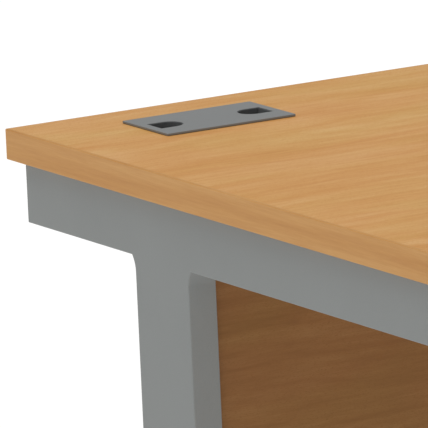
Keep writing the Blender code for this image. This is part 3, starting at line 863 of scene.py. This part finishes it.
def make_caps(side, x, half):
    """A moulded cap in each open end of the arm and the foot."""
    for level in ("arm", "foot"):
        for end, way in ENDS.items():
            low, high, centre = extent(f"{level}_cap_{side}_{end}")
            half_z = (high.z - low.z) / 2
            face = high.y if way > 0 else -low.y
            back, tip = face - CAP_PLATE, face - (high.y - low.y)
            plug = TUBE_WALL + CLEARANCE
            inside = plug + CAP_WALL
            profile = [(inside, back), (inside, tip), (inside - CAP_WALL / 2, tip)]
            profile += [(plug, tip + CAP_WALL), (plug, back), (PLATE_EASE, back), (0, back + PLATE_EASE)]
            profile += [(inset, face - rise) for inset, rise in reversed(rim(CAP_LIP))]
            layers = [(rectangle(half, half_z, TUBE_ROUND, inset), height) for inset, height in profile]
            cap = stack(layers, facing((0, way, 0), (x, 0, centre.z)))
            add_piece(f"cap_{level}_{side}_{end}", cap, CAP, stands_for=[f"{level}_cap_{side}_{end}"])


# Cross rails


def make_rail(end):
    low, high, centre = extent(f"rail_{end}")
    half_y, half_z = RAIL_WIDTH / 2, (high.z - low.z) / 2
    plate_half = (high.y - low.y) / 2
    reach = high.x
    place = upright(0) @ at(centre.y, centre.z, 0)
    weld = reach - PLATE_THICKNESS + PLATE_EASE
    profile = [(0, -weld), (0, weld), (RAIL_WALL, weld), (RAIL_WALL, -weld)]
    rail = framed(half_y, half_z, RAIL_ROUND, profile, place)
    down = at(*centre.xy, 0)
    rail = cut(rail, rod(SCREW_RADIUS + CLEARANCE, low.z - RAIL_WIDTH, high.z + RAIL_WIDTH, down))

    def outline(inset):
        return rectangle(plate_half, half_z, PLATE_CORNER, inset)

    top = half_z - BEAD
    corners = [(half_y, top, None), (half_y, -half_z, RAIL_ROUND)]
    corners += [(-half_y, -half_z, RAIL_ROUND), (-half_y, top, None)]
    for side, sign in SIDES.items():
        seam = sign * (reach - PLATE_THICKNESS)
        plate = slab(outline, *sorted((seam, sign * reach)), PLATE_EASE, place)
        holes = []
        for number in PAIR:
            bolt = middle(f"rail_bolt_{end}_{number}_{side}")
            spot = facing((sign, 0, 0), (sign * reach, bolt.y, bolt.z))
            holes.append(rod(BOLT_RADIUS + CLEARANCE, -2 * PLATE_THICKNESS, PLATE_THICKNESS, spot))
        rail = join(rail, cut(plate, *holes))
        path = [Vector((seam, centre.y + u, centre.z + v)) for u, v in rounded(corners)]
        add_piece(f"rail_bead_{end}_{side}", bead(path), COAT)
    add_piece(f"cross_rail_{end}", rail, COAT, stands_for=[f"rail_{end}"])


# Cable ports


def slot_outline(half_u, grow):
    """A D: its flat end is towards -U and its round end towards the middle, drawn out by grow."""
    flat = -half_u + SLOT_MARGIN - grow
    radius = SLOT_WIDTH / 2 + grow
    straight = -half_u + SLOT_MARGIN + SLOT_LENGTH - SLOT_WIDTH / 2
    points = [Vector((flat, radius))]
    steps = 4 * ARC_STEPS
    for step in range(steps + 1):
        turn = math.pi * (0.5 - step / steps)
        points.append(Vector((straight + radius * math.cos(turn), radius * math.sin(turn))))
    return points + [Vector((flat, -radius))]


def slot_shade_lining(half_u, low, high, place):
    """The dark moulded sleeve in a slot, with a rounded upper rim. Its dark colour paints the shade that
    falls inside the slot.
    """
    ease = SLOT_LINING / 2
    profile = [(-SEAM, low)]
    for step in range(RIM_STEPS + 1):
        turn = math.pi * step / RIM_STEPS
        profile.append((ease * (math.cos(turn) - 1) - SEAM, high - ease + ease * math.sin(turn)))
    profile.append((-SLOT_LINING, low))
    return carried(lambda grow: slot_outline(half_u, grow), profile, place)


def make_port(side):
    cover_low, cover_high, centre = extent(f"port_cover_{side}")
    liner_low, liner_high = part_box(f"port_liner_{side}")
    half = (cover_high - cover_low) / 2
    place = at(*centre.xy, 0)
    top, bottom = cover_high.z, cover_high.z - COVER_THICKNESS

    def outline(inset):
        return rectangle(half.x, half.y, COVER_CORNER, inset)

    body = f"cover_{side}"
    plate = slab(outline, bottom, top, COVER_EASE, place)
    slots = at(centre.x, centre.y - SLOT_OFFSET, 0)
    sockets = [slots @ Matrix.Rotation(turn, 4, "Z") for turn in (0, math.pi)]
    way = [(slot_outline(half.x, 0), z) for z in (bottom - THROUGH, top + THROUGH)]
    plate = cut(plate, *[stack(way, socket) for socket in sockets])
    add_piece(f"cover_plate_{side}", plate, COVER, body=body, stands_for=[f"port_cover_{side}"])

    wall_u, wall_v = half.x - PORT_LAP - CLEARANCE, half.y - PORT_LAP - CLEARANCE
    # the dark skirt under the cover: its inner wall, seen through the slots, paints the shade inside the
    # port
    outer = LINER_WALL + SKIRT_PLAY
    inner = outer + SKIRT_WALL
    profile = [(outer, cover_low.z + COVER_EASE), (outer, bottom), (inner, bottom)]
    profile += [(inner, cover_low.z), (outer + COVER_EASE, cover_low.z)]
    skirt = framed(wall_u, wall_v, PORT_CORNER, profile, place)
    add_piece(f"cover_skirt_{side}", skirt, LINER, body=body)
    # the dark sleeves in the slots: painted shade inside the slots
    for number, socket in enumerate(sockets, 1):
        lining = slot_shade_lining(half.x, cover_low.z, top - COVER_EASE, socket)
        add_piece(f"slot_shade_lining_{side}_{number}", lining, LINER, body=body)

    flange_top = liner_low.z + LINER_FLANGE_THICKNESS
    ease = LINER_EASE
    profile = [(ease - LINER_FLANGE, liner_low.z), (-LINER_FLANGE, liner_low.z + ease)]
    profile += [(-LINER_FLANGE, flange_top - ease), (ease - LINER_FLANGE, flange_top), (0, flange_top)]
    profile += [(0, liner_high.z - ease), (ease, liner_high.z), (LINER_WALL - ease, liner_high.z)]
    profile += [(LINER_WALL, liner_high.z - ease), (LINER_WALL, liner_low.z + ease)]
    profile += [(LINER_WALL - ease, liner_low.z)]
    liner = framed(wall_u, wall_v, PORT_CORNER - CLEARANCE, profile, place)
    add_piece(f"liner_{side}", liner, LINER, stands_for=[f"port_liner_{side}"])


# Brackets and fasteners


def make_bracket(side, sign, level):
    """A bent angle bracket, with rounded corners on both its legs, and its two screws into the panel."""
    low, high, centre = extent(f"bracket_{side}_{level}")
    corner = (high.x if sign > 0 else low.x, low.y)
    reach = high.y - low.y
    half = (high.z - low.z) / 2
    thick = BRACKET_THICKNESS
    bend = BRACKET_BEND - thick
    upper = [half - inset for inset, _ in reversed(rim(BRACKET_CORNER, 2 * ARC_STEPS))]
    layers = []
    for height in upper + [-h for h in upper[::-1]]:
        depth = abs(height) - (half - BRACKET_CORNER)
        draw = BRACKET_CORNER - math.sqrt(max(BRACKET_CORNER**2 - depth**2, 0))
        far = reach - draw
        corners = [(0, 0, BRACKET_BEND), (-sign * far, 0, None), (-sign * far, thick, None)]
        corners += [(-sign * thick, thick, bend), (-sign * thick, far, None), (0, far, None)]
        layers.append((rounded(corners), height))
    bm = stack(layers, at(*corner, centre.z))
    bolt = middle(f"bracket_bolt_{level}_{side}")
    bolt_place = facing((sign, 0, 0), (corner[0], bolt.y, bolt.z))
    drills = [rod(BOLT_RADIUS + CLEARANCE, -2 * thick, thick, bolt_place)]
    screw_x = corner[0] - sign * PANEL_SCREW_REACH
    heights = [centre.z - PANEL_SCREW_RISE, centre.z + PANEL_SCREW_RISE]
    for height in heights:
        spot = facing((0, 1, 0), (screw_x, low.y, height))
        drills.append(rod(SCREW_RADIUS + CLEARANCE, -thick, 2 * thick, spot))
    bm = eased(cut(bm, *drills), BRACKET_EASE)
    add_piece(f"angle_bracket_{side}_{level}", bm, ZINC, stands_for=[f"bracket_{side}_{level}"])
    for number, height in enumerate(heights, 1):
        screw = screw_solid(facing((0, 1, 0), (screw_x, low.y + thick, height)), PANEL_SCREW_LENGTH)
        add_piece(f"panel_screw_{side}_{level}_{number}", screw, ZINC)


def screw_solid(place, length):
    """A pan-headed screw with a cross recess. Its head stands up from its seat, along its own +Z."""
    steps = [(circle, 0, -length), (circle, SCREW_RADIUS, -length + 2 * SCREW_RADIUS)]
    steps += [(circle, SCREW_RADIUS, 0), (circle, SCREW_HEAD_RADIUS, 0)]
    steps += dome(SCREW_HEAD_RADIUS, SCREW_HEAD, SCREW_HEAD * SCREW_SHOULDER, RECESS_REACH * SCREW_CROWN)
    steps += [(cross, RECESS_REACH, SCREW_HEAD)]
    steps += [(cross, RECESS_REACH * RECESS_FLOOR, SCREW_HEAD - RECESS_DEPTH)]
    steps += [(circle, 0, SCREW_HEAD - RECESS_DEPTH * RECESS_POINT)]
    return turned(steps, place, 2 * ROUND_SIDES)


def make_bolt(node, sign):
    """A button-headed bolt with a hexagon socket, whose head stands away from the leg."""
    low, high, centre = extent(node)
    radius = (high.z - low.z) / 2
    seat = (low.x if sign > 0 else high.x) + sign * BOLT_HEAD
    tip = BOLT_HEAD - (high.x - low.x)
    chamfer = BOLT_RADIUS * BOLT_CHAMFER
    steps = [(circle, BOLT_RADIUS - chamfer, tip), (circle, BOLT_RADIUS, tip + chamfer)]
    steps += [(circle, BOLT_RADIUS, 0), (circle, radius, 0)]
    crown = SOCKET_HALF * BOLT_CROWN
    steps += dome(radius, BOLT_HEAD, BOLT_HEAD * BOLT_SHOULDER, crown, 2 * RIM_STEPS)
    steps += [(hexagon, SOCKET_HALF * (1 + SOCKET_FLARE), BOLT_HEAD)]
    steps += [(hexagon, SOCKET_HALF, BOLT_HEAD * (1 - SOCKET_FLARE))]
    steps += [(hexagon, SOCKET_HALF, BOLT_HEAD - SOCKET_DEPTH)]
    steps += [(circle, 0, BOLT_HEAD - SOCKET_DEPTH * SOCKET_POINT)]
    place = facing((-sign, 0, 0), (seat, centre.y, centre.z))
    add_piece(f"button_{node}", turned(steps, place), ZINC, stands_for=[node])


def make_top_screw(node):
    low, high, centre = extent(node)
    seat = low.z + SCREW_HEAD
    place = facing((0, 0, -1), (centre.x, centre.y, seat))
    add_piece(f"pan_{node}", screw_solid(place, high.z - seat), ZINC, stands_for=[node])


# Levelling feet


def thread(size, angle):
    """The radius of a right-handed thread, for a size of (height, what the end's chamfer takes)."""
    height, chamfer = size
    phase = (height / THREAD_PITCH - angle / (2 * math.pi)) % 1
    flank = abs(phase - 0.5) * 2
    radius = STUD_RADIUS - THREAD_DEPTH * min(max(flank * THREAD_SLOPE - THREAD_CREST, 0), 1)
    return min(radius, STUD_RADIUS - chamfer)


def make_stud(end, side):
    node = f"foot_stud_{end}_{side}"
    low, high, centre = extent(node)
    hex_bottom = low.z + SPIGOT_DEPTH + CLEARANCE
    hex_top = hex_bottom + HEX_HEIGHT
    spigot = STUD_RADIUS - CLEARANCE
    steps = [(circle, 0, low.z), (circle, STUD_RADIUS - HEX_EASE, low.z)]
    steps += [(circle, spigot, low.z + HEX_EASE), (circle, spigot, hex_bottom)]
    steps += [(clipped_hexagon, HEX_HALF, hex_bottom), (clipped_hexagon, HEX_CLIP, hex_bottom + HEX_EASE)]
    steps += [(clipped_hexagon, HEX_CLIP, hex_top - HEX_EASE), (clipped_hexagon, HEX_HALF, hex_top)]
    steps += [(circle, STUD_RADIUS, hex_top)]
    length = high.z - hex_top
    count = int(length / THREAD_PITCH * THREAD_RINGS)
    for step in range(count + 1):
        height = hex_top + length * step / count
        chamfer = max(0, height - (high.z - HEX_EASE))
        steps.append((thread, (height, chamfer), height))
    name = f"stud_{end}_{side}"
    add_piece(name, turned(steps, at(*centre.xy, 0)), ZINC, body=name, stands_for=[node])


def make_insert(end, side):
    """The threaded bush pressed into the foot tube."""
    node = f"foot_insert_{end}_{side}"
    low, high, centre = extent(node)
    ease = INSERT_EASE
    flange, bore = (high.x - low.x) / 2, STUD_RADIUS + CLEARANCE
    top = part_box(f"foot_cap_{side}_front")[0].z - SEAM
    profile = [(bore + ease, low.z), (flange - ease, low.z), (flange, low.z + ease), (flange, top - ease)]
    profile += [(flange - ease, top), (INSERT_RADIUS, top), (INSERT_RADIUS, high.z - ease)]
    profile += [(INSERT_RADIUS - ease, high.z), (bore, high.z), (bore, low.z + ease)]
    steps = [(circle, radius, height) for radius, height in profile]
    bush = turned(steps, at(*centre.xy, 0), loop=True)
    add_piece(f"insert_{end}_{side}", bush, ZINC, stands_for=[node])


def make_pad(end, side):
    """The moulded pad: a stepped cone with a collar, a socket for the stud and rings under it."""
    node = f"foot_pad_{end}_{side}"
    low, high, centre = extent(node)
    edge, height = (high.x - low.x) / 2, high.z - low.z
    socket = STUD_RADIUS + CLEARANCE
    collar = socket + PAD_COLLAR
    groove = PAD_GROOVE
    profile = [(0, groove)]
    for share in PAD_RINGS:
        near, far = edge * share, edge * (share + PAD_RING)
        profile += [(near, groove), (near + groove / 2, 0), (far - groove / 2, 0), (far, groove)]
    profile += [(edge - 2 * groove, 0), (edge - groove, 0), (edge, 2 * groove), (edge, height * PAD_SIDE)]
    profile += [(edge - groove, height * PAD_ROUND), (edge * PAD_CONE[0], height * PAD_CONE[1])]
    profile += [(collar + out, height * share) for out, share in PAD_SLOPE]
    profile += [(collar, height - groove), (collar - groove, height), (socket + groove / 2, height)]
    depth = height - SPIGOT_DEPTH - CLEARANCE
    profile += [(socket, height - groove / 2), (socket, depth), (0, depth)]
    steps = [(circle, radius, z) for radius, z in profile]
    name = f"pad_{end}_{side}"
    add_piece(name, turned(steps, at(*centre.xy, low.z)), DARK, body=name, stands_for=[node])


def make_desk():
    make_worktop()
    make_panel()
    for end in ENDS:
        make_rail(end)
        make_top_screw(f"rail_screw_{end}")
    for side, sign in SIDES.items():
        make_leg(side, sign)
        make_port(side)
        for end in TABS:
            make_top_screw(f"top_screw_{side}_{end}")
        for level in LEVELS:
            make_bracket(side, sign, level)
            make_bolt(f"bracket_bolt_{level}_{side}", sign)
        for end in ENDS:
            for number in PAIR:
                make_bolt(f"rail_bolt_{end}_{number}_{side}", sign)
            make_stud(end, side)
            make_insert(end, side)
            make_pad(end, side)


make_desk()


# Studio: a pale floor, an even sky, a wide soft light from above and a weak one from the front left

FLOOR_RADIUS = 90.0
FLOOR_SIDES = 96
FLOOR_TONES = ((243, 243, 242), (246, 246, 245))
FLOOR_GLOW = 0.16
SKY_STRENGTH = 0.40
TOP_LIGHT = (1.75, (0.10, -0.05, -1.0), math.radians(70))  # strength, direction and spread
SIDE_LIGHT = (0.31, (0.78, 0.56, -0.33), math.radians(60))

# The photo's view
CAMERA_PLACE = (-3.94085, -5.55024, 2.03487)
CAMERA_AHEAD = (0.489257, 0.848922, -0.199896)
CAMERA_ROLL = math.radians(-2.59)
CAMERA_LENS = 728.6
CAMERA_REACH = 1000.0


def see_through_from_below(s):
    """Lets the desk's underside show through the floor's lower face."""
    side = s.node("ShaderNodeNewGeometry").outputs["Backfacing"]
    either = s.node("ShaderNodeMixShader", Fac=side)
    s.join(s.shader.outputs["BSDF"], either.inputs[1])
    s.join(s.node("ShaderNodeBsdfTransparent").outputs["BSDF"], either.inputs[2])
    s.join(either.outputs["Shader"], s.tree.nodes["Material Output"].inputs["Surface"])


def make_floor():
    bm = bmesh.new()
    bmesh.ops.create_circle(bm, cap_ends=True, segments=FLOOR_SIDES, radius=FLOOR_RADIUS)
    mesh = bpy.data.meshes.new("floor")
    bm.to_mesh(mesh)
    bm.free()
    floor = placed("floor", mesh)
    s = Surface("studio_floor")
    colour = s.blended(s.noise(3.0), *[linear(tone) for tone in FLOOR_TONES])
    s.fill(s.shader, Emission_Color=(1, 1, 1, 1), Emission_Strength=FLOOR_GLOW)
    surface, _ = s.finish("floor", specular=0.0, Base_Color=colour, Roughness=0.9)
    see_through_from_below(s)
    mesh.materials.append(surface)


def make_light(name, settings):
    strength, direction, spread = settings
    lamp = bpy.data.lights.new(name, "SUN")
    lamp.energy = strength
    lamp.angle = spread
    placed(name, lamp).rotation_euler = Vector(direction).to_track_quat("-Z", "Y").to_euler()


def make_studio():
    scene = bpy.context.scene
    world = bpy.data.worlds.new("studio_sky")
    world.use_nodes = True
    sky = world.node_tree.nodes["Background"]
    sky.inputs["Color"].default_value = (1, 1, 1, 1)
    sky.inputs["Strength"].default_value = SKY_STRENGTH
    scene.world = world
    scene.view_settings.view_transform = "Standard"
    make_floor()
    make_light("light_above", TOP_LIGHT)
    make_light("light_left", SIDE_LIGHT)
    data = bpy.data.cameras.new("camera")
    data.lens = CAMERA_LENS
    data.clip_end = CAMERA_REACH
    camera = placed("camera", data)
    turn = Vector(CAMERA_AHEAD).to_track_quat("-Z", "Y").to_matrix().to_4x4()
    roll = Matrix.Rotation(CAMERA_ROLL, 4, "Z")
    camera.matrix_world = Matrix.Translation(CAMERA_PLACE) @ turn @ roll
    scene.camera = camera


make_studio()
